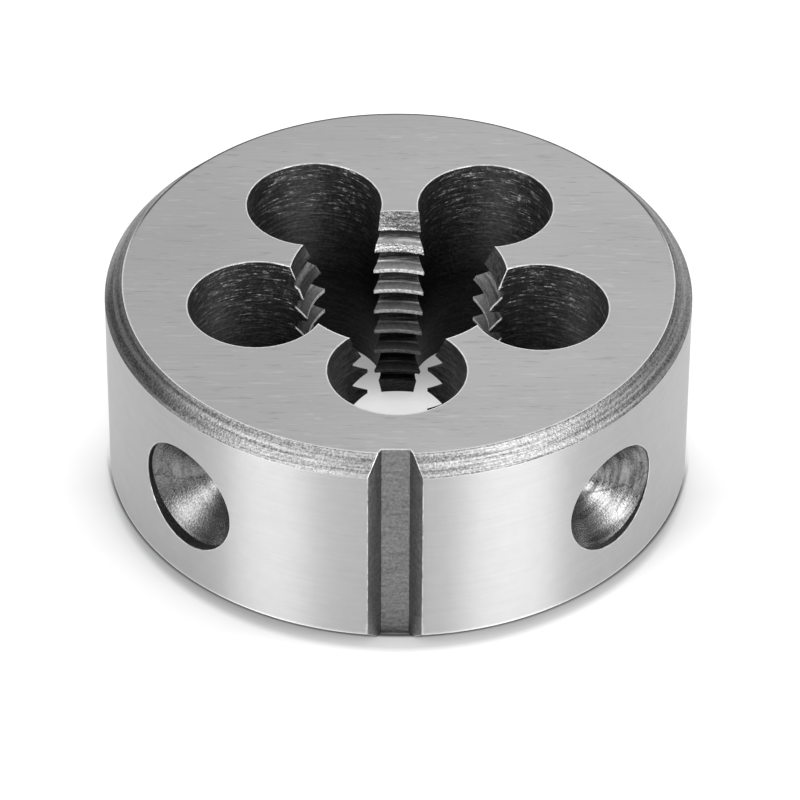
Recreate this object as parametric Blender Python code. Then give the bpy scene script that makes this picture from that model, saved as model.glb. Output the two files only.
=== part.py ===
"""A round threading die that cuts an M16 x 2 right-hand thread, in metres with +Z up.

The die is one piece of hardened steel. It stands on its lower face, with its axis on Z and the
slot of its rim towards -Y. Everything is cut from a turned blank: the threaded bore with its two
tapered leads, the ring of chip holes that part the thread into cutting lands, the V slot for
spreading the die, and the drilled recesses that the screws of a die stock press into.
"""

import math

import bmesh
import bpy
from mathutils import Matrix, Vector

MM = 0.001

# Blank
OUTER_DIAMETER = 45.0 * MM
THICKNESS = 18.0 * MM
RIM_CHAMFER = 1.35 * MM

# Thread
NOMINAL_DIAMETER = 16.0 * MM
PITCH = 2.0 * MM
FLANK_ANGLE = math.radians(30)
ROOT_CLEARANCE = 0.10 * MM
BACK_CREST_HEIGHT = 1.2 * MM

# Tapered lead at each end of the thread
LEAD_ANGLE = math.radians(22.5)
LEAD_CLEARANCE = 0.26 * MM

# Chip holes, which reach from just inside the thread's crests out to the wall of the rim
CHIP_HOLE_COUNT = 5
CHIP_HOLE_BREAK_IN = 0.91 * MM
RIM_WALL = 5.95 * MM

# Slot in the rim
SLOT_FLOOR_WIDTH = 2.1 * MM
SLOT_DEPTH = 1.8 * MM
SLOT_FLANK_ANGLE = math.radians(30)

# Recesses for the screws of a die stock, at these angles to the slot and opposite
RECESS_DIAMETER = 8.8 * MM
RECESS_STRAIGHT_DEPTH = 0.9 * MM
RECESS_POINT_ANGLE = math.radians(45)
LEFT_RECESS_ANGLE = math.radians(45.2)
RIGHT_RECESS_ANGLE = math.radians(47.1)

# How far a cutter reaches past the metal it cuts
CUTTER_REACH = 1.0 * MM

# Facets round each form
BLANK_FACETS = 144
THREAD_FACETS = 72
LEAD_FACETS = 90
CHIP_HOLE_FACETS = 64
RECESS_FACETS = 40

# Turns the facets of the leads a little, so that their edges miss those of the thread
LEAD_FACET_TURN = math.radians(0.7)

FRONT = math.radians(-90)
BACK = math.radians(90)

outer_radius = OUTER_DIAMETER / 2
crest_flat = PITCH / 6
root_flat = PITCH / 5
thread_depth = (PITCH - crest_flat - root_flat) / 2 / math.tan(FLANK_ANGLE)
root_radius = NOMINAL_DIAMETER / 2 + ROOT_CLEARANCE
crest_radius = root_radius - thread_depth
lead_mouth_radius = root_radius + LEAD_CLEARANCE
chip_hole_inner_reach = crest_radius - CHIP_HOLE_BREAK_IN
chip_hole_outer_reach = outer_radius - RIM_WALL
chip_hole_radius = (chip_hole_outer_reach - chip_hole_inner_reach) / 2
chip_circle_radius = (chip_hole_outer_reach + chip_hole_inner_reach) / 2


def clear_scene():
    for old in list(bpy.data.objects):
        bpy.data.objects.remove(old, do_unlink=True)


def add_object(name, mesh_builder):
    """A new object whose mesh is the content of a bmesh."""
    bmesh.ops.recalc_face_normals(mesh_builder, faces=mesh_builder.faces)
    mesh = bpy.data.meshes.new(name)
    mesh_builder.to_mesh(mesh)
    mesh_builder.free()
    item = bpy.data.objects.new(name, mesh)
    bpy.context.scene.collection.objects.link(item)
    return item


def make_cutter(item):
    """Keeps a shape out of the finished part: it only cuts."""
    item.hide_render = True
    item.display_type = 'WIRE'
    return item


def turned_solid(name, profile, facets):
    """A solid of revolution about Z. The profile is (radius, height) pairs, lowest first."""
    shape = bmesh.new()
    rings = []
    for radius, height in profile:
        ring = [
            shape.verts.new((
                radius * math.cos(math.tau * step / facets),
                radius * math.sin(math.tau * step / facets),
                height,
            ))
            for step in range(facets)
        ]
        rings.append(ring)
    for lower, upper in zip(rings, rings[1:]):
        for step in range(facets):
            following = (step + 1) % facets
            shape.faces.new((lower[step], lower[following], upper[following], upper[step]))
    shape.faces.new(rings[0][::-1])
    shape.faces.new(rings[-1])
    return add_object(name, shape)


def turned_blank():
    """The plain disc with a chamfer round both faces."""
    return turned_solid(
        'die_body',
        [
            (outer_radius - RIM_CHAMFER, 0),
            (outer_radius, RIM_CHAMFER),
            (outer_radius, THICKNESS - RIM_CHAMFER),
            (outer_radius - RIM_CHAMFER, THICKNESS),
        ],
        BLANK_FACETS,
    )


def thread_cutter():
    """A threaded rod of the size that the die cuts, with its crests where the die has roots.

    Going once round, the profile climbs by one pitch and meets itself, so one strip of faces
    wound along the helix makes the whole surface.
    """
    root_half = root_flat / 2
    crest_half = crest_flat / 2
    profile = [
        (crest_radius, -PITCH + crest_half),
        (root_radius, -PITCH / 2 - root_half),
        (root_radius, -PITCH / 2 + root_half),
        (crest_radius, -crest_half),
    ]
    turns = math.ceil((THICKNESS + 2 * CUTTER_REACH) / PITCH) + 2
    first_height = BACK_CREST_HEIGHT - PITCH * math.ceil((BACK_CREST_HEIGHT + CUTTER_REACH) / PITCH)
    columns = []
    shape = bmesh.new()
    for step in range(turns * THREAD_FACETS + 1):
        angle = BACK + math.tau * step / THREAD_FACETS
        rise = first_height + PITCH * step / THREAD_FACETS
        columns.append([
            shape.verts.new((
                radius * math.cos(angle),
                radius * math.sin(angle),
                rise + height,
            ))
            for radius, height in profile
        ])

    def top_corner(step):
        """The corner that closes a column: the lowest corner one turn later, where there is one."""
        if step + THREAD_FACETS < len(columns):
            return columns[step + THREAD_FACETS][0]
        return closing[step + THREAD_FACETS - len(columns)]

    closing = []
    for step in range(len(columns), len(columns) + THREAD_FACETS):
        angle = BACK + math.tau * step / THREAD_FACETS
        height = first_height + PITCH * step / THREAD_FACETS + profile[0][1]
        closing.append(shape.verts.new((
            crest_radius * math.cos(angle),
            crest_radius * math.sin(angle),
            height,
        )))
    full_columns = [column + [top_corner(step)] for step, column in enumerate(columns)]
    for before, after in zip(full_columns, full_columns[1:]):
        for row in range(len(profile)):
            shape.faces.new((before[row], after[row], after[row + 1], before[row + 1]))

    lower_end = shape.verts.new((0, 0, full_columns[0][0].co.z - PITCH))
    upper_end = shape.verts.new((0, 0, full_columns[-1][-1].co.z + PITCH))
    lower_rim = [column[0] for column in full_columns[:THREAD_FACETS + 1]]
    lower_rim += full_columns[0][-2:0:-1]
    upper_rim = [column[-1] for column in full_columns[-THREAD_FACETS - 1:]]
    upper_rim += full_columns[-1][-2:0:-1]
    for rim, end in ((lower_rim, lower_end), (upper_rim, upper_end)):
        for corner, following in zip(rim, rim[1:] + rim[:1]):
            shape.faces.new((corner, following, end))
    return make_cutter(add_object('thread_cutter', shape))


def lead_cutters():
    """The cone that opens the thread at each face, so that the die starts on the rod."""
    slope = math.tan(LEAD_ANGLE)
    inner_radius = crest_radius - CUTTER_REACH
    depth = (lead_mouth_radius - inner_radius) / slope
    lower = turned_solid(
        'lower_lead_cutter',
        [(lead_mouth_radius + CUTTER_REACH * slope, -CUTTER_REACH), (inner_radius, depth)],
        LEAD_FACETS,
    )
    upper = turned_solid(
        'upper_lead_cutter',
        [
            (inner_radius, THICKNESS - depth),
            (lead_mouth_radius + CUTTER_REACH * slope, THICKNESS + CUTTER_REACH),
        ],
        LEAD_FACETS,
    )
    for lead in (lower, upper):
        lead.rotation_euler.z = LEAD_FACET_TURN
        make_cutter(lead)
    return [lower, upper]


def chip_hole_cutters():
    """The through holes that break into the bore, the first of them behind the slot."""
    cutters = []
    for index in range(CHIP_HOLE_COUNT):
        angle = FRONT + math.tau * index / CHIP_HOLE_COUNT
        hole = turned_solid(
            f'chip_hole_cutter_{index + 1}',
            [(chip_hole_radius, -CUTTER_REACH), (chip_hole_radius, THICKNESS + CUTTER_REACH)],
            CHIP_HOLE_FACETS,
        )
        hole.rotation_euler.z = angle
        hole.location = (
            chip_circle_radius * math.cos(angle),
            chip_circle_radius * math.sin(angle),
            0,
        )
        cutters.append(make_cutter(hole))
    return cutters


def slot_cutter():
    """The V slot with a flat floor, down the whole rim at the front."""
    floor = -(outer_radius - SLOT_DEPTH)
    mouth = -(outer_radius + CUTTER_REACH)
    floor_half = SLOT_FLOOR_WIDTH / 2
    mouth_half = floor_half + (floor - mouth) * math.tan(SLOT_FLANK_ANGLE)
    outline = [(-floor_half, floor), (-mouth_half, mouth), (mouth_half, mouth), (floor_half, floor)]
    shape = bmesh.new()
    lower = shape.faces.new([shape.verts.new((x, y, -CUTTER_REACH)) for x, y in outline])
    raised = bmesh.ops.extrude_face_region(shape, geom=[lower])['geom']
    bmesh.ops.translate(
        shape,
        verts=[part for part in raised if isinstance(part, bmesh.types.BMVert)],
        vec=Vector((0, 0, THICKNESS + 2 * CUTTER_REACH)),
    )
    return make_cutter(add_object('slot_cutter', shape))


def recess_cutters():
    """Drilled recesses with a pointed floor, half-way up the rim."""
    recess_radius = RECESS_DIAMETER / 2
    straight_start = outer_radius - RECESS_STRAIGHT_DEPTH
    point = straight_start - recess_radius / math.tan(RECESS_POINT_ANGLE)
    tip_radius = 0.02 * MM
    tip = point + tip_radius / math.tan(RECESS_POINT_ANGLE)
    cutters = []
    angles = (
        FRONT - LEFT_RECESS_ANGLE,
        FRONT + RIGHT_RECESS_ANGLE,
        BACK - LEFT_RECESS_ANGLE,
        BACK + RIGHT_RECESS_ANGLE,
    )
    for index, angle in enumerate(angles):
        drill = turned_solid(
            f'recess_cutter_{index + 1}',
            [
                (tip_radius, tip),
                (recess_radius, straight_start),
                (recess_radius, outer_radius + CUTTER_REACH),
            ],
            RECESS_FACETS,
        )
        lay_down = Matrix.Rotation(math.radians(90), 4, 'Y')
        drill.matrix_world = (
            Matrix.Translation((0, 0, THICKNESS / 2)) @ Matrix.Rotation(angle, 4, 'Z') @ lay_down
        )
        cutters.append(make_cutter(drill))
    return cutters


def cut(body, cutter):
    boolean = body.modifiers.new(cutter.name, 'BOOLEAN')
    boolean.operation = 'DIFFERENCE'
    boolean.solver = 'EXACT'
    boolean.object = cutter


def finish_cuts(body):
    """Gives the body the mesh that its cuts leave, and clears the cutters away."""
    graph = bpy.context.evaluated_depsgraph_get()
    finished = bpy.data.meshes.new_from_object(body.evaluated_get(graph))
    cutters = [modifier.object for modifier in body.modifiers]
    body.modifiers.clear()
    body.data = finished
    for cutter in cutters:
        bpy.data.objects.remove(cutter, do_unlink=True)


def hardened_steel():
    """Satin ground tool steel."""
    steel = bpy.data.materials.new('hardened_steel')
    steel.use_nodes = True
    shader = steel.node_tree.nodes['Principled BSDF']
    shader.inputs['Base Color'].default_value = (0.55, 0.55, 0.56, 1)
    shader.inputs['Metallic'].default_value = 1.0
    shader.inputs['Roughness'].default_value = 0.38
    return steel


def build():
    clear_scene()
    die = turned_blank()
    cut(die, thread_cutter())
    for cutter in lead_cutters() + chip_hole_cutters() + [slot_cutter()] + recess_cutters():
        cut(die, cutter)
    finish_cuts(die)
    die.data.materials.clear()
    die.data.materials.append(hardened_steel())
    die.data.shade_smooth()
    die.data.set_sharp_from_angle(angle=math.radians(20))


build()
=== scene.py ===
"""A round threading die of hardened tool steel, dressed for its picture.

The die stands on its lower face with its axis on Z and the slot of its rim towards -Y. It is one
piece of steel, so each section below cuts one more form into the same blank, as the maker does.
"""

import math

import bmesh
import bpy
from mathutils import Matrix, Vector


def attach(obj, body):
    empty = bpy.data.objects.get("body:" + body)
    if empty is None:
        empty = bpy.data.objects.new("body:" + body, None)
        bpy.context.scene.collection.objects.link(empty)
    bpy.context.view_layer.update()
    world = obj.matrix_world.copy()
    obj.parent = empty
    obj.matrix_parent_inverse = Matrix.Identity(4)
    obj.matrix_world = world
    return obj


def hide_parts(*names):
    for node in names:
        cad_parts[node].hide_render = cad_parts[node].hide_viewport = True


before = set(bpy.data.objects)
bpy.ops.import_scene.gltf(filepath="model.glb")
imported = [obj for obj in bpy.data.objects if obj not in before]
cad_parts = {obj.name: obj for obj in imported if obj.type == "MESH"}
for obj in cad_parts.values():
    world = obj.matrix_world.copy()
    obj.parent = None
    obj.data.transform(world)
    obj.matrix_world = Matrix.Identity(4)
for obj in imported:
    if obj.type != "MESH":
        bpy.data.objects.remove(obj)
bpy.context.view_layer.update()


# The blank: a thick disc turned from tool steel bar, hardened, then ground on both faces and
# round the rim. The rim chamfers are left as the lathe cut them.

MM = 0.001
RIM_RADIUS = 22.5 * MM
THICKNESS = 18.0 * MM
RIM_CHAMFER = 1.35 * MM
RIM_FACETS = 360
DARK_BAND = 0.15 * MM


def steel(name, grey, roughness):
    """A bare steel finish and its shader. The grey is its plain colour, under its marks."""
    finish = bpy.data.materials.new(name)
    finish.use_nodes = True
    shader = finish.node_tree.nodes['Principled BSDF']
    shader.inputs['Base Color'].default_value = (grey, grey, grey, 1)
    shader.inputs['Metallic'].default_value = 1.0
    shader.inputs['Roughness'].default_value = roughness
    return finish, shader


def link(finish, value, socket):
    finish.node_tree.links.new(value, socket)


def add_node(finish, kind, inputs=(), **settings):
    """A node with its settings made and its inputs filled by a value or another node's output."""
    node = finish.node_tree.nodes.new(kind)
    for setting, value in settings.items():
        setattr(node, setting, value)
    for socket, value in dict(inputs).items():
        if isinstance(value, bpy.types.NodeSocket):
            link(finish, value, node.inputs[socket])
        else:
            node.inputs[socket].default_value = value
    return node


def vector_of(finish, operation, first, second=None):
    """The result of a vector sum, a product or the like."""
    inputs = {0: first} if second is None else {0: first, 1: second}
    node = add_node(finish, 'ShaderNodeVectorMath', inputs, operation=operation)
    return node.outputs['Value' if operation in ('LENGTH', 'DOT_PRODUCT') else 'Vector']


def combine(finish, operation, first, *others):
    """Works the same sum on numbers, one after the other."""
    for other in others:
        node = add_node(finish, 'ShaderNodeMath', {0: first, 1: other}, operation=operation)
        first = node.outputs[0]
    return first


def plus(finish, *values):
    return combine(finish, 'ADD', *values)


def times(finish, *values):
    return combine(finish, 'MULTIPLY', *values)


def greatest(finish, *values):
    return combine(finish, 'MAXIMUM', *values)


def span(finish, value, from_low, from_high, to_low, to_high, smooth=False):
    """Carries one range of a value onto another, and holds it at the ends."""
    ranges = {
        'Value': value,
        'From Min': from_low,
        'From Max': from_high,
        'To Min': to_low,
        'To Max': to_high,
    }
    kind = 'SMOOTHSTEP' if smooth else 'LINEAR'
    return add_node(
        finish, 'ShaderNodeMapRange', ranges, interpolation_type=kind
    ).outputs['Result']


def object_position(finish):
    return add_node(finish, 'ShaderNodeTexCoord').outputs['Object']


def along(finish, position, axis):
    """How far along one axis a point is."""
    return add_node(finish, 'ShaderNodeSeparateXYZ', {0: position}).outputs[axis]


def radius_of(finish, position):
    """How far a point is from the die's axis."""
    level = vector_of(finish, 'MULTIPLY', position, (1, 1, 0))
    return vector_of(finish, 'LENGTH', level)


def marks(finish, position, per_metre, detail=3):
    """Noise stretched into tool marks: how often it changes per metre along each axis."""
    stretched = add_node(finish, 'ShaderNodeMapping', {'Vector': position, 'Scale': per_metre})
    noise = add_node(
        finish, 'ShaderNodeTexNoise',
        {'Vector': stretched.outputs[0], 'Scale': 1.0, 'Detail': detail, 'Roughness': 0.6},
    )
    return noise.outputs['Fac']


def two_tone(finish, shader, factor, dark, light, painted_light=1.0):
    """Base colour that runs from dark to light steel with the factor, times the finish's painted
    light and shade, with marks in some finishes.
    """
    grey = span(finish, factor, 0, 1, dark, light)
    link(finish, times(finish, grey, painted_light), shader.inputs['Base Color'])


def relief(finish, shader, height, depth):
    """Raises and sinks the surface by the marks, the full range of them being this deep."""
    bump = add_node(finish, 'ShaderNodeBump', {'Height': height, 'Distance': depth})
    link(finish, bump.outputs[0], shader.inputs['Normal'])


def rounded_normal(finish, radius):
    """The way the surface would face if its edges were rounded this much."""
    return add_node(finish, 'ShaderNodeBevel', {'Radius': radius}, samples=6).outputs[0]


def paint_edge_highlight(finish, shader, width, light, where=1.0):
    """A painted highlight: a fine light line painted along the edges."""
    flat = add_node(finish, 'ShaderNodeNewGeometry').outputs['Normal']
    agreement = vector_of(finish, 'DOT_PRODUCT', rounded_normal(finish, width), flat)
    edge_highlight = times(finish, span(finish, agreement, 0.995, 0.94, 0, 1), where)
    mix = add_node(finish, 'ShaderNodeMix', data_type='RGBA')
    link(finish, edge_highlight, mix.inputs['Factor'])
    link(finish, shader.inputs['Base Color'].links[0].from_socket, mix.inputs['A'])
    mix.inputs['B'].default_value = (light, light, light, 1)
    link(finish, mix.outputs['Result'], shader.inputs['Base Color'])


def grain_across(finish, shader, direction, strength):
    """Stretches the gloss across fine lines. The direction is the one square to them."""
    tangent = add_node(finish, 'ShaderNodeCombineXYZ', {direction: 1.0})
    shader.inputs['Anisotropic'].default_value = strength
    link(finish, tangent.outputs[0], shader.inputs['Tangent'])


# Faces: surface-ground in straight passes along X, so the lines all run one way. At the back a
# narrow band along their very edge is painted dark, the faces are painted a little lighter
# towards +X as sheen, and a highlight is painted along their edges outside that band.
ground, shader = steel('ground_face', 0.50, 0.40)
position = object_position(ground)
fine_lines = marks(ground, position, (160, 7500, 160))
dashes = marks(ground, position, (420, 3800, 420), detail=2)
cloud = marks(ground, position, (45, 120, 45), detail=2)
lines = plus(
    ground,
    span(ground, fine_lines, 0.3, 0.7, 0.2, 0.55),
    span(ground, cloud, 0.3, 0.7, 0, 0.3),
    span(ground, dashes, 0.62, 0.70, 0, 0.9),
)
lines = combine(ground, 'SUBTRACT', lines, span(ground, dashes, 0.37, 0.29, 0, 1.1))
into_band = combine(
    ground, 'SUBTRACT', radius_of(ground, position), RIM_RADIUS - RIM_CHAMFER - DARK_BAND
)
inside = greatest(
    ground,
    span(ground, into_band, -0.02 * MM, 0.02 * MM, 1, 0),
    span(ground, along(ground, position, 'Y'), 3 * MM, 8 * MM, 1, 0),
)
painted_sheen_and_dark_band = times(
    ground,
    span(ground, along(ground, position, 'X'), -16 * MM, 6 * MM, 0.84, 0.94),
    span(ground, inside, 0, 1, 0.25, 1),
)
two_tone(ground, shader, lines, 0.362, 0.470, painted_sheen_and_dark_band)
paint_edge_highlight(ground, shader, 0.22 * MM, 1.0, inside)
relief(ground, shader, lines, 0.004 * MM)
grain_across(ground, shader, 'Y', 0.75)

# Rim: cylindrically ground, so the lines run round it. A highlight is painted along its edges,
# brightest along its lower edge, and it is painted a little lighter towards +X as sheen.
rim, shader = steel('ground_rim', 0.60, 0.43)
position = object_position(rim)
fine_lines = marks(rim, position, (160, 160, 4200), detail=4)
specks = marks(rim, position, (900, 900, 900), detail=2)
lines = plus(rim, span(rim, fine_lines, 0.3, 0.7, 0, 0.6), span(rim, specks, 0.3, 0.7, 0, 0.4))
painted_sheen = span(rim, along(rim, position, 'X'), 8 * MM, 16 * MM, 1, 1.07)
low_down = span(rim, along(rim, position, 'Z'), 2.0 * MM, 2.6 * MM, 1, 0)
two_tone(rim, shader, lines, 0.47, 0.52, painted_sheen)
paint_edge_highlight(rim, shader, 0.14 * MM, 0.85)
paint_edge_highlight(rim, shader, 0.42 * MM, 1.0, low_down)
relief(rim, shader, lines, 0.003 * MM)
grain_across(rim, shader, 'Z', 0.95)

# Chamfers: as turned, with coarse broken tool marks round them. They are painted brighter at the
# sides as sheen, and dull and dark at the back as shade.
turned, shader = steel('turned_chamfer', 0.4, 0.33)
position = object_position(turned)
rings = marks(turned, position, (70, 70, 4600))
crumbs = marks(turned, position, (5600, 5600, 5600))
tooling = plus(
    turned, span(turned, rings, 0.41, 0.59, 0, 0.5), span(turned, crumbs, 0.38, 0.62, 0, 0.45)
)
place_x = along(turned, position, 'X')
place_y = along(turned, position, 'Y')
by_left = times(
    turned,
    span(turned, place_x, -15.5 * MM, -18 * MM, 0, 1),
    span(turned, place_y, -3 * MM, 6.5 * MM, -0.33, 0.7),
)
by_right = times(
    turned,
    span(turned, place_x, 12 * MM, 18 * MM, 0, 1),
    span(turned, place_y, -4 * MM, 8 * MM, 0.20, 0.55),
)
by_front_right = times(
    turned,
    span(turned, place_x, 10 * MM, 15 * MM, 0, 1),
    span(turned, place_y, -14 * MM, -8 * MM, 0.22, 0),
)
# Painted light and shade, by where each part of the chamfer lies
painted_light_and_marks = times(
    turned,
    plus(turned, by_left, by_right, by_front_right, 1.0),
    span(turned, place_y, 11 * MM, 15 * MM, 1, 0.2),
)
two_tone(turned, shader, tooling, 0.09, 0.425, painted_light_and_marks)
relief(turned, shader, plus(turned, rings, times(turned, crumbs, 0.75)), 0.055 * MM)
link(turned, span(turned, place_y, 10 * MM, 15 * MM, 0.92, 0.0), shader.inputs['Metallic'])
shader.inputs['Specular IOR Level'].default_value = 0.0
shader.inputs['Specular Tint'].default_value = (0.45, 0.45, 0.45, 1)

bpy.ops.object.select_all(action='DESELECT')
bpy.ops.mesh.primitive_cylinder_add(
    vertices=RIM_FACETS, radius=RIM_RADIUS, depth=THICKNESS, location=(0, 0, THICKNESS / 2)
)
die = bpy.context.object
die.name = 'threading_die'
bpy.ops.object.transform_apply(location=True, rotation=True, scale=True)
for finish in (ground, rim, turned):
    die.data.materials.append(finish)
FACE, RIM, CHAMFER = range(3)
bpy.ops.object.mode_set(mode='EDIT')
bpy.ops.mesh.select_mode(type='EDGE')
bpy.ops.mesh.select_all(action='DESELECT')
shape = bmesh.from_edit_mesh(die.data)
for face in shape.faces:
    face.material_index = FACE if abs(face.normal.z) > 0.9 else RIM
for edge in shape.edges:
    edge.select_set(abs(edge.verts[0].co.z - edge.verts[1].co.z) < 1e-6)
bmesh.update_edit_mesh(die.data)
bpy.ops.mesh.bevel(offset=RIM_CHAMFER, segments=1, affect='EDGES', material=CHAMFER)
bpy.ops.object.mode_set(mode='OBJECT')


# The thread: M16 x 2, right-handed, chased right through the blank. Its shape is that of the
# rod it cuts, so a threaded rod of that size is taken away from the blank.

PITCH = 2.0 * MM
CREST_RADIUS = 7.003 * MM
ROOT_RADIUS = 8.10 * MM
CREST_FLAT = PITCH / 6
ROOT_FLAT = PITCH / 5
BACK_CREST_HEIGHT = 1.2 * MM
THREAD_FACETS = 144
THREAD_TURNS = 14
TURNS_BELOW = 3
SIDE_LANDS_END = 3.0 * MM
BACK_LAND_START = 5.5 * MM
REACH = 1.0 * MM


def darker_beside(finish, position, beside):
    """Painted shade on the thread: none on the land at the back, darker on the lands beside it.
    """
    place_y = along(finish, position, 'Y')
    return span(finish, place_y, SIDE_LANDS_END, BACK_LAND_START, beside, 1)


# Flanks: smooth near the crest and torn near the root, with painted shade that darkens them down
# the bore and on the side lands
flank, shader = steel('thread_flank', 0.42, 0.36)
position = object_position(flank)
chasing = marks(flank, position, (300, 300, 6500))
crumbs = marks(flank, position, (3600, 3600, 3600))
near_root = span(flank, radius_of(flank, position), 7.52 * MM, 7.66 * MM, 0, 1)
torn = add_node(flank, 'ShaderNodeMix', data_type='FLOAT')
link(flank, near_root, torn.inputs['Factor'])
torn.inputs['A'].default_value = 1.0
link(flank, span(flank, chasing, 0.40, 0.6, 0.5, 1.7), torn.inputs['B'])
up_the_bore = span(flank, along(flank, position, 'Z'), 1.5 * MM, 13.2 * MM, 0, 1)
painted_light_and_marks = times(
    flank,
    greatest(flank, combine(flank, 'POWER', up_the_bore, 1.9), 0.07),
    torn.outputs['Result'],
    darker_beside(flank, position, 0.46),
)
two_tone(flank, shader, span(flank, crumbs, 0.3, 0.7, 0, 1), 0.17, 0.29, painted_light_and_marks)
relief(flank, shader, times(flank, chasing, near_root), 0.05 * MM)

# Crests: the narrow tops of the teeth, rubbed matt and coloured bright as a painted highlight,
# with painted shade down the bore and on the side lands
crest, shader = steel('thread_crest', 0.85, 0.42)
position = object_position(crest)
crumbs = marks(crest, position, (5200, 5200, 5200))
up_the_bore = span(crest, along(crest, position, 'Z'), 1.8 * MM, 12.0 * MM, 0, 1)
painted_light_and_marks = times(
    crest, combine(crest, 'POWER', up_the_bore, 1.6), darker_beside(crest, position, 0.5)
)
two_tone(crest, shader, span(crest, crumbs, 0.35, 0.6, 0, 1), 0.5, 1.1, painted_light_and_marks)
link(crest, rounded_normal(crest, 0.17 * MM), shader.inputs['Normal'])
shader.inputs['Metallic'].default_value = 0.0
shader.inputs['Specular IOR Level'].default_value = 0.2

# The rod: one pitch of its profile, drawn point by point, then wound up the axis from well below
# the die to well above it
bpy.ops.object.select_all(action='DESELECT')
bpy.ops.mesh.primitive_plane_add(size=PITCH)
rod = bpy.context.object
rod.name = 'rod_cutter'
bpy.ops.object.mode_set(mode='EDIT')
bpy.ops.mesh.select_mode(type='VERT')
bpy.ops.mesh.select_all(action='SELECT')
bpy.ops.mesh.merge(type='CENTER')
bpy.ops.transform.translate(
    value=(0, CREST_RADIUS, BACK_CREST_HEIGHT - TURNS_BELOW * PITCH + CREST_FLAT / 2)
)
rise = (PITCH - CREST_FLAT - ROOT_FLAT) / 2
for step in (
    (0, ROOT_RADIUS - CREST_RADIUS, rise),
    (0, 0, ROOT_FLAT),
    (0, CREST_RADIUS - ROOT_RADIUS, rise),
    (0, 0, CREST_FLAT),
):
    bpy.ops.mesh.extrude_region_move(TRANSFORM_OT_translate={'value': step})
bpy.ops.object.mode_set(mode='OBJECT')
bpy.ops.object.modifier_add(type='SCREW')
winding = rod.modifiers[-1]
winding.axis = 'Z'
winding.angle = math.tau
winding.screw_offset = PITCH
winding.iterations = THREAD_TURNS
winding.steps = THREAD_FACETS
winding.render_steps = THREAD_FACETS
winding.use_merge_vertices = False
bpy.ops.object.modifier_apply(modifier=winding.name)
bpy.ops.object.mode_set(mode='EDIT')
bpy.ops.mesh.select_all(action='SELECT')
bpy.ops.mesh.remove_doubles(threshold=0.001 * MM)
for height, outwards in ((-REACH, -1), (THICKNESS + REACH, 1)):
    bpy.ops.mesh.select_all(action='SELECT')
    bpy.ops.mesh.bisect(
        plane_co=(0, 0, height),
        plane_no=(0, 0, outwards),
        use_fill=True,
        clear_outer=True,
        threshold=1e-8,
    )
bpy.ops.mesh.select_all(action='SELECT')
bpy.ops.mesh.normals_make_consistent(inside=False)
bpy.ops.object.mode_set(mode='OBJECT')
for finish in (flank, crest):
    rod.data.materials.append(finish)
CREST = 1
for face in rod.data.polygons:
    outermost = max(math.hypot(*rod.data.vertices[v].co.xy) for v in face.vertices)
    if outermost < CREST_RADIUS + 0.01 * MM:
        face.material_index = CREST


def cut(body, cutter):
    """Takes the cutter's shape out of the body. The cut keeps the finish of the cutter."""
    bpy.ops.object.select_all(action='DESELECT')
    bpy.context.view_layer.objects.active = body
    bpy.ops.object.modifier_add(type='BOOLEAN')
    taken = body.modifiers[-1]
    taken.operation = 'DIFFERENCE'
    taken.solver = 'EXACT'
    taken.material_mode = 'TRANSFER'
    taken.object = cutter
    bpy.ops.object.modifier_apply(modifier=taken.name)
    bpy.data.objects.remove(cutter, do_unlink=True)


cut(die, rod)


# The leads: a cone turned into each end of the thread, so that the die starts on the rod. They
# are rough from the tool, and brighter below a line where the last pass of the tool ended.

LEAD_ANGLE = math.radians(22.5)
LEAD_MOUTH_RADIUS = 8.36 * MM
LEAD_FACETS = 250
LEAD_FACET_TURN = 0.004
LAST_PASS_HEIGHT = 16.7 * MM
LAST_PASS_SLANT = 0.145

lead, shader = steel('turned_lead', 0.35, 0.38)
position = object_position(lead)
place_x = along(lead, position, 'X')
place_z = along(lead, position, 'Z')
rings = marks(lead, position, (500, 500, 3200), detail=4)
crumbs = marks(lead, position, (4200, 4200, 4200))
tooling = plus(
    lead, span(lead, rings, 0.35, 0.65, 0, 0.35), span(lead, crumbs, 0.3, 0.7, 0, 0.65)
)
below_last_pass = span(
    lead, plus(lead, place_z, times(lead, place_x, LAST_PASS_SLANT)),
    LAST_PASS_HEIGHT + 0.05 * MM, LAST_PASS_HEIGHT - 0.05 * MM, 0, 1,
)
brightness = span(lead, plus(lead, tooling, times(lead, below_last_pass, 0.9)), 0, 1.9, 0, 1)
# Painted shade: darker down the bore, and on the lands neither at the back nor towards +X
painted_light_and_marks = times(
    lead,
    span(lead, place_z, 3.0 * MM, 13.0 * MM, 0.08, 1),
    greatest(
        lead, span(lead, place_x, 0, 5 * MM, 0.4, 1), darker_beside(lead, position, 0.4)
    ),
)
two_tone(lead, shader, brightness, 0.07, 0.80, painted_light_and_marks)
relief(lead, shader, tooling, 0.05 * MM)
shader.inputs['Specular Tint'].default_value = (0.2, 0.2, 0.2, 1)

# The cones are turned a touch, so that no facet of theirs ends just where one of the thread does
inner = CREST_RADIUS - REACH
outer = LEAD_MOUTH_RADIUS + REACH * math.tan(LEAD_ANGLE)
length = (outer - inner) / math.tan(LEAD_ANGLE)
for low_radius, high_radius, middle in (
    (outer, inner, length / 2 - REACH),
    (inner, outer, THICKNESS + REACH - length / 2),
):
    bpy.ops.object.select_all(action='DESELECT')
    bpy.ops.mesh.primitive_cone_add(
        vertices=LEAD_FACETS, radius1=low_radius, radius2=high_radius, depth=length,
        location=(0, 0, middle), rotation=(0, 0, LEAD_FACET_TURN),
    )
    cone = bpy.context.object
    cone.data.materials.append(lead)
    cut(die, cone)


# The chip holes: five holes drilled right through on a circle, which part the thread into five
# cutting lands. The drill and the hardening salts left their walls dark and scored.

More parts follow.
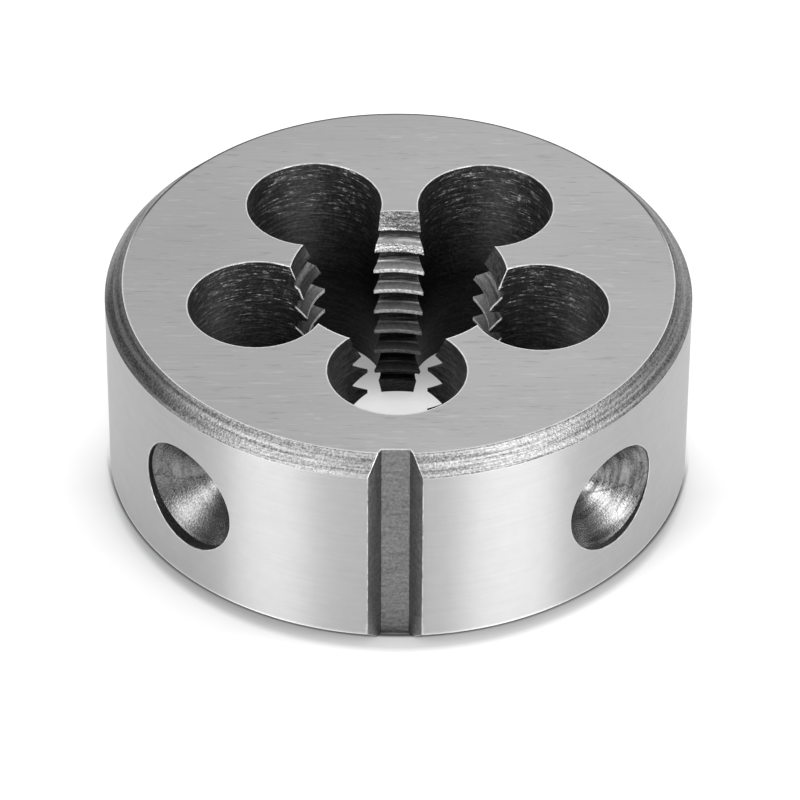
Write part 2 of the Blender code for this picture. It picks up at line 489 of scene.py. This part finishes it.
FRONT = math.radians(-90)
CHIP_HOLES = 5
CHIP_HOLE_RADIUS = 5.228 * MM
CHIP_HOLE_FACETS = 160
CHIP_CIRCLE_RADIUS = 11.322 * MM
BACK_RIGHT_HOLE, BACK_LEFT_HOLE = 2, 3
LEANS = {BACK_RIGHT_HOLE: -0.33 * MM, BACK_LEFT_HOLE: 0.12 * MM}

drilled, shader = steel('drilled_wall', 0.10, 0.42)
position = object_position(drilled)
place_y = along(drilled, position, 'Y')
place_z = along(drilled, position, 'Z')
from_axis = radius_of(drilled, position)
scores = marks(drilled, position, (620, 620, 5200), detail=4)
crumbs = marks(drilled, position, (2300, 2300, 2600))
grit = marks(drilled, position, (3800, 3800, 3800))
# The scores are painted fainter down the holes, as shade
scored = times(
    drilled,
    span(drilled, scores, 0.53, 0.72, 0, 1),
    span(drilled, crumbs, 0.45, 0.64, 0.05, 1),
    span(drilled, place_z, 9.0 * MM, 14.5 * MM, 0, 1),
    span(drilled, place_y, -8 * MM, -4 * MM, 0.25, 1),
)
scored = plus(
    drilled, scored,
    span(drilled, grit, 0.4, 0.7, 0, 0.14),
    span(drilled, scores, 0.45, 0.60, 0, 0.14),
)
# Where the teeth and the lead meet the walls of the side holes, a glint is painted along their
# edges: a painted highlight
lead_radius = plus(
    drilled,
    times(drilled, place_z, math.tan(LEAD_ANGLE)),
    LEAD_MOUTH_RADIUS - THICKNESS * math.tan(LEAD_ANGLE),
)
past_lead = combine(drilled, 'SUBTRACT', from_axis, lead_radius)
toothed = greatest(
    drilled,
    span(drilled, from_axis, ROOT_RADIUS - 0.15 * MM, ROOT_RADIUS - 0.02 * MM, 1, 0),
    span(drilled, past_lead, 0.06 * MM, 0.14 * MM, 1, 0),
)
tilt = along(drilled, rounded_normal(drilled, 0.32 * MM), 'Z')
glint = times(
    drilled,
    span(drilled, tilt, 0.04, 0.12, 0, 1),
    span(drilled, place_y, 3 * MM, 5 * MM, 1, 0),
    span(drilled, place_y, -4 * MM, -2 * MM, 0, 1),
    toothed,
)
brightness = plus(drilled, times(drilled, scored, 0.625), glint)
# Painted shade: the walls are painted darker down the holes, except where the glint is painted
painted_light_and_marks = greatest(drilled, span(drilled, place_z, 7.5 * MM, 14.5 * MM, 0.12, 1), glint)
two_tone(drilled, shader, brightness, 0.11, 1.05, painted_light_and_marks)
relief(drilled, shader, plus(drilled, scored, times(drilled, grit, 0.7)), 0.04 * MM)
link(drilled, span(drilled, glint, 0, 1, 1, 0), shader.inputs['Metallic'])

for index in range(CHIP_HOLES):
    angle = FRONT + math.tau * index / CHIP_HOLES
    lean = LEANS.get(index, 0.0)
    bpy.ops.object.select_all(action='DESELECT')
    bpy.ops.mesh.primitive_cylinder_add(
        vertices=CHIP_HOLE_FACETS, radius=CHIP_HOLE_RADIUS, depth=THICKNESS + 2 * REACH,
        location=(
            CHIP_CIRCLE_RADIUS * math.cos(angle) + lean / 2,
            CHIP_CIRCLE_RADIUS * math.sin(angle),
            THICKNESS / 2,
        ),
        rotation=(0, -math.atan(lean / THICKNESS), 0),
    )
    drill = bpy.context.object
    drill.data.materials.append(drilled)
    cut(die, drill)


# The slot: a V with a flat floor, milled down the whole rim at the front. The die is split
# there when it is to be spread. The mill left it dark, with lines down its length.

SLOT_FLOOR_WIDTH = 2.1 * MM
SLOT_DEPTH = 1.8 * MM
SLOT_FLANK_ANGLE = math.radians(30)

milled, shader = steel('milled_slot', 0.25, 0.42)
position = object_position(milled)
passes = marks(milled, position, (900, 900, 3600))
crumbs = marks(milled, position, (4200, 4200, 4200))
tooling = plus(
    milled, span(milled, passes, 0.3, 0.7, 0, 0.4), span(milled, crumbs, 0.3, 0.7, 0, 0.6)
)
two_tone(milled, shader, tooling, 0.09, 0.28)
relief(milled, shader, tooling, 0.03 * MM)

bpy.ops.object.select_all(action='DESELECT')
mill_depth = SLOT_DEPTH + REACH
mouth_width = SLOT_FLOOR_WIDTH + 2 * mill_depth * math.tan(SLOT_FLANK_ANGLE)
bpy.ops.mesh.primitive_cube_add(size=1)
mill = bpy.context.object
mill.dimensions = (SLOT_FLOOR_WIDTH, mill_depth, THICKNESS + 2 * REACH)
mill.location = (0, -(RIM_RADIUS - SLOT_DEPTH + mill_depth / 2), THICKNESS / 2)
bpy.ops.object.transform_apply(location=True, rotation=True, scale=True)
bpy.ops.object.mode_set(mode='EDIT')
bpy.ops.mesh.select_mode(type='FACE')
bpy.ops.mesh.select_all(action='DESELECT')
shape = bmesh.from_edit_mesh(mill.data)
for face in shape.faces:
    face.select_set(face.normal.y < -0.9)
bmesh.update_edit_mesh(mill.data)
bpy.ops.transform.resize(value=(mouth_width / SLOT_FLOOR_WIDTH, 1, 1))
bpy.ops.object.mode_set(mode='OBJECT')
mill.data.materials.append(milled)
cut(die, mill)


# The recesses: four shallow holes spotted into the rim half-way up with a drill, two beside the
# slot and two opposite. The screws of the die stock press into their cones.

RECESS_RADIUS = 4.4 * MM
RECESS_FACETS = 160
DEEP_WALL = 0.9 * MM
SHALLOW_WALL = 0.55 * MM
RECESS_POINT_ANGLE = math.radians(45)
TIP_SHARE = 0.04
LEFT_RECESS = FRONT - math.radians(45.2)
RIGHT_RECESS = FRONT + math.radians(47.1)
LEFT_SWELL = 0.12 * MM
LEFT_LIFT = 0.156 * MM

spotted, shader = steel('spotted_cone', 0.4, 0.22)
position = object_position(spotted)
place_x = along(spotted, position, 'X')
middle = vector_of(spotted, 'SUBTRACT', position, (0, 0, THICKNESS / 2))
off_centre = []
outwards = []
for angle in (LEFT_RECESS, RIGHT_RECESS):
    centre_line = (math.cos(angle), math.sin(angle), 0)
    crossed = vector_of(spotted, 'CROSS_PRODUCT', middle, centre_line)
    off_centre.append(vector_of(spotted, 'LENGTH', crossed))
    outwards.append(vector_of(spotted, 'DOT_PRODUCT', position, centre_line))
off_centre = combine(spotted, 'MINIMUM', *off_centre)
outwards = greatest(spotted, *outwards)
# The rings lie round each recess's own centre line, and show most in the right one
ring_place = add_node(spotted, 'ShaderNodeCombineXYZ', {'X': times(spotted, off_centre, 2900)})
loose = vector_of(spotted, 'MULTIPLY', position, (0, 260, 260))
rings = marks(spotted, vector_of(spotted, 'ADD', ring_place.outputs[0], loose), (1, 1, 1))
rings = times(
    spotted,
    span(spotted, rings, 0.38, 0.62, -0.5, 0.5),
    span(spotted, place_x, -MM, MM, 0.45, 1),
)
crumbs = marks(spotted, position, (6500, 6500, 6500))
crumbled = combine(spotted, 'SUBTRACT', times(spotted, crumbs, 1.2), 0.6)
tooling = plus(spotted, times(spotted, rings, 0.8), crumbled, 0.5)
# Hairlines: where the hard skin cracked as it was quenched
wander = marks(spotted, position, (700, 700, 700))
drift = add_node(
    spotted, 'ShaderNodeCombineXYZ',
    {'X': times(spotted, wander, 0.004), 'Z': times(spotted, wander, 0.003)},
)
hairs = add_node(
    spotted, 'ShaderNodeTexVoronoi',
    {'Vector': vector_of(spotted, 'ADD', position, drift.outputs[0]), 'Scale': 210.0},
    feature='DISTANCE_TO_EDGE',
)
# Painted shade: the straight wall outside the cone is painted darker, the left one most, and the
# right recess is painted a little lighter
at_right = span(spotted, place_x, -MM, MM, 0, 1)
cone_mouth = span(spotted, at_right, 0, 1, RIM_RADIUS - DEEP_WALL, RIM_RADIUS - SHALLOW_WALL)
past_cone = combine(spotted, 'SUBTRACT', outwards, cone_mouth)
wall = span(spotted, at_right, 0, 1, 0.6, 0.95)
painted_light_and_marks = times(
    spotted,
    span(spotted, hairs.outputs['Distance'], 0.0, 0.02, 0.45, 1),
    span(spotted, place_x, -MM, MM, 1, 1.12),
    span(spotted, past_cone, -0.04 * MM, 0.04 * MM, 1, wall),
)
two_tone(spotted, shader, tooling, 0.07, 0.29, painted_light_and_marks)
roughness = plus(spotted, times(spotted, rings, 0.4), times(spotted, crumbs, 1.2))
relief(spotted, shader, roughness, 0.028 * MM)
shader.inputs['Metallic'].default_value = 0.92
shader.inputs['Specular IOR Level'].default_value = 0.0

tip_depth = RECESS_RADIUS / math.tan(RECESS_POINT_ANGLE)
for angle, wall_depth, swell, lift in (
    (LEFT_RECESS, DEEP_WALL, LEFT_SWELL, LEFT_LIFT),
    (RIGHT_RECESS, SHALLOW_WALL, 0, 0),
    (LEFT_RECESS + math.pi, SHALLOW_WALL, 0, 0),
    (RIGHT_RECESS + math.pi, DEEP_WALL, 0, 0),
):
    bpy.ops.object.select_all(action='DESELECT')
    bpy.ops.mesh.primitive_cylinder_add(
        vertices=RECESS_FACETS, radius=RECESS_RADIUS + swell, depth=wall_depth + REACH,
        location=(0, 0, (REACH - wall_depth) / 2 + RIM_RADIUS),
    )
    drill = bpy.context.object
    bpy.ops.object.transform_apply(location=True, rotation=True, scale=True)
    bpy.ops.object.mode_set(mode='EDIT')
    bpy.ops.mesh.select_mode(type='FACE')
    bpy.ops.mesh.select_all(action='DESELECT')
    shape = bmesh.from_edit_mesh(drill.data)
    for face in shape.faces:
        face.select_set(face.normal.z < -0.9)
    bmesh.update_edit_mesh(drill.data)
    bpy.ops.mesh.extrude_region_move(
        TRANSFORM_OT_translate={'value': (0, 0, -(1 - TIP_SHARE) * tip_depth)}
    )
    bpy.ops.transform.resize(value=(TIP_SHARE, TIP_SHARE, 1))
    bpy.ops.mesh.extrude_region_move(
        TRANSFORM_OT_translate={'value': (0, 0, -TIP_SHARE * tip_depth)}
    )
    bpy.ops.mesh.merge(type='CENTER')
    bpy.ops.mesh.select_all(action='SELECT')
    bpy.ops.mesh.normals_make_consistent(inside=False)
    bpy.ops.object.mode_set(mode='OBJECT')
    drill.data.transform(
        Matrix.Translation((0, 0, THICKNESS / 2 + lift))
        @ Matrix.Rotation(angle, 4, 'Z')
        @ Matrix.Rotation(math.radians(90), 4, 'Y')
    )
    drill.data.materials.append(spotted)
    cut(die, drill)


# Finishing: a stone is run along every edge where a hole, the slot or a recess meets the outside.
# The cutting edges are left sharp.

EDGE_BREAK = 0.05 * MM

# The broken edges are coloured lighter than the faces beside them: a painted highlight
broken, shader = steel('broken_edge_highlight', 0.82, 0.35)
position = object_position(broken)
nicks = marks(broken, position, (1500, 1500, 1500), detail=2)
two_tone(broken, shader, span(broken, nicks, 0.35, 0.6, 0, 1), 0.3, 0.65)

bpy.ops.object.select_all(action='DESELECT')
die.select_set(True)
bpy.context.view_layer.objects.active = die
die.data.materials.append(broken)
finishes = list(die.data.materials)
outside = {finishes.index(finish) for finish in (ground, rim, turned)}
hollows = {finishes.index(finish) for finish in (drilled, milled, spotted)}
bpy.ops.object.mode_set(mode='EDIT')
bpy.ops.mesh.select_mode(type='EDGE')
bpy.ops.mesh.select_all(action='SELECT')
bpy.ops.mesh.remove_doubles(threshold=0.0005 * MM)
bpy.ops.mesh.select_all(action='DESELECT')
shape = bmesh.from_edit_mesh(die.data)
for edge in shape.edges:
    sides = {face.material_index for face in edge.link_faces}
    edge.select_set(len(sides) == 2 and bool(sides & outside) and bool(sides & hollows))
bmesh.update_edit_mesh(die.data)
bpy.ops.mesh.bevel(
    offset=EDGE_BREAK, segments=2, affect='EDGES', clamp_overlap=False,
    material=finishes.index(broken),
)
bpy.ops.object.mode_set(mode='OBJECT')
bpy.ops.object.shade_smooth_by_angle(angle=math.radians(22))

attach(die, 'root')
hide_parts('die_body')


# The floor: a plain white sheet, which takes the soft shadow of the die and otherwise shows
# white. A shadow is painted into it close beside the rim and in a thin line under the rim's front
# edge, and it is painted lighter where it shows through the bore and the front hole, and a little
# lighter towards the back.

FRONT_LINE_SET_BACK = 1.68 * MM

paper = bpy.data.materials.new('floor_paper')
paper.use_nodes = True
shader = paper.node_tree.nodes['Principled BSDF']
shader.inputs['Roughness'].default_value = 0.9
shader.inputs['Specular IOR Level'].default_value = 0.0
shader.inputs['Emission Color'].default_value = (1, 1, 1, 1)
position = object_position(paper)
place_y = along(paper, position, 'Y')
out_there = radius_of(paper, position)
rays = add_node(paper, 'ShaderNodeLightPath')
seen = greatest(
    paper,
    rays.outputs['Is Camera Ray'], rays.outputs['Is Glossy Ray'],
    rays.outputs['Is Transmission Ray'],
)
# Painted shadow: darker beside the rim, close against it, and in a thin line under its front edge
front_left = vector_of(paper, 'DOT_PRODUCT', position, (0.34, -0.94, 0))
faint = greatest(
    paper,
    span(paper, front_left, 15 * MM, 21 * MM, 0.85, 0.99),
    span(paper, place_y, -4 * MM, 4 * MM, 0.85, 1),
)
beside = span(paper, out_there, RIM_RADIUS, RIM_RADIUS + 8.5 * MM, faint, 1)
against = span(paper, out_there, RIM_RADIUS - 0.2 * MM, RIM_RADIUS + 0.4 * MM, 0.75, 1)
from_line_centre = radius_of(
    paper, vector_of(paper, 'SUBTRACT', position, (0, FRONT_LINE_SET_BACK, 0))
)
front_line = greatest(
    paper,
    span(paper, from_line_centre, RIM_RADIUS + 0.16 * MM, RIM_RADIUS + 0.42 * MM, 0.14, 1),
    span(paper, place_y, -6 * MM, 0, 0, 1),
    span(paper, out_there, 20.3 * MM, 20.9 * MM, 1, 0),
)
shade = times(paper, beside, against, front_line)
# Painted light: lighter through the bore and the front hole, and a little lighter towards the
# back
down_hole = combine(
    paper, 'MINIMUM',
    span(paper, out_there, 7 * MM, 11 * MM, 0.72, 0.30),
    span(paper, out_there, 15 * MM, 18 * MM, 0.72, 0),
)
open_floor = span(paper, place_y, -10 * MM, 2 * MM, 0.19, 0.27)
glow = times(paper, seen, shade, greatest(paper, down_hole, open_floor))
link(paper, times(paper, shade, 0.70), shader.inputs['Base Color'])
link(paper, glow, shader.inputs['Emission Strength'])

bpy.ops.object.select_all(action='DESELECT')
bpy.ops.mesh.primitive_plane_add(size=6)
floor = bpy.context.object
floor.name = 'floor'
floor.data.materials.append(paper)


# The light: a plain room, brightest overhead and dimmer at its sides, and two tall softboxes
# ahead of the die, one to each side.

DIE_MIDDLE = Vector((0, 0, THICKNESS / 2))
SOFTBOX_ELEVATION = 24
SOFTBOX_DISTANCE = 0.7
SOFTBOX_HEIGHT = 0.60

room = bpy.data.worlds.new('room')
bpy.context.scene.world = room
room.use_nodes = True
background = room.node_tree.nodes['Background']
direction = add_node(room, 'ShaderNodeTexCoord').outputs['Generated']
sideways = add_node(
    room, 'ShaderNodeMath', {0: along(room, direction, 'X')}, operation='ABSOLUTE'
).outputs[0]
sky = times(
    room,
    span(room, along(room, direction, 'Z'), 0.30, 0.68, 0.18, 1.41, smooth=True),
    span(room, sideways, 0.74, 0.92, 1.0, 0.46, smooth=True),
    span(room, along(room, direction, 'Y'), -0.05, -0.45, 1.0, 1.1),
)
link(room, sky, background.inputs['Strength'])
background.inputs['Color'].default_value = (1, 1, 1, 1)


def towards(azimuth, elevation):
    """The direction from the die that is this far round from the front and this far up."""
    azimuth, elevation = math.radians(azimuth), math.radians(elevation)
    return Vector((
        math.sin(azimuth) * math.cos(elevation),
        -math.cos(azimuth) * math.cos(elevation),
        math.sin(elevation),
    ))


def softbox(name, azimuth, width, radiance):
    """A soft upright lamp that faces the die."""
    back = towards(azimuth, SOFTBOX_ELEVATION)
    bpy.ops.object.light_add(type='AREA', location=DIE_MIDDLE + back * SOFTBOX_DISTANCE)
    lamp = bpy.context.object
    lamp.name = name
    lamp.rotation_mode = 'QUATERNION'
    lamp.rotation_quaternion = (-back).to_track_quat('-Z', 'Y')
    lamp.data.shape = 'RECTANGLE'
    lamp.data.size = width
    lamp.data.size_y = SOFTBOX_HEIGHT
    lamp.data.energy = radiance * math.pi * width * SOFTBOX_HEIGHT


softbox('softbox_left', -45.5, 0.343, 3.6)
softbox('softbox_right', 41.3, 0.408, 4.0)


# The camera: as in the picture, from the front and well above, with a long lens, and turned a
# little about its own axis.

CAMERA_AZIMUTH = 0.4
CAMERA_ELEVATION = 38.811
CAMERA_DISTANCE = 0.436465
CAMERA_ROLL = math.radians(0.294)

bpy.ops.object.camera_add()
camera = bpy.context.object
back = towards(CAMERA_AZIMUTH, CAMERA_ELEVATION)
camera.location = DIE_MIDDLE + back * CAMERA_DISTANCE
camera.rotation_mode = 'QUATERNION'
level = (-back).to_track_quat('-Z', 'Y')
camera.rotation_quaternion = level @ Matrix.Rotation(CAMERA_ROLL, 3, 'Z').to_quaternion()
camera.data.sensor_width = 36
camera.data.lens = 253.53
camera.data.shift_x = 0.0023
camera.data.shift_y = -0.0389
camera.data.clip_start = 0.01
bpy.context.scene.camera = camera
bpy.context.scene.view_settings.view_transform = 'Standard'
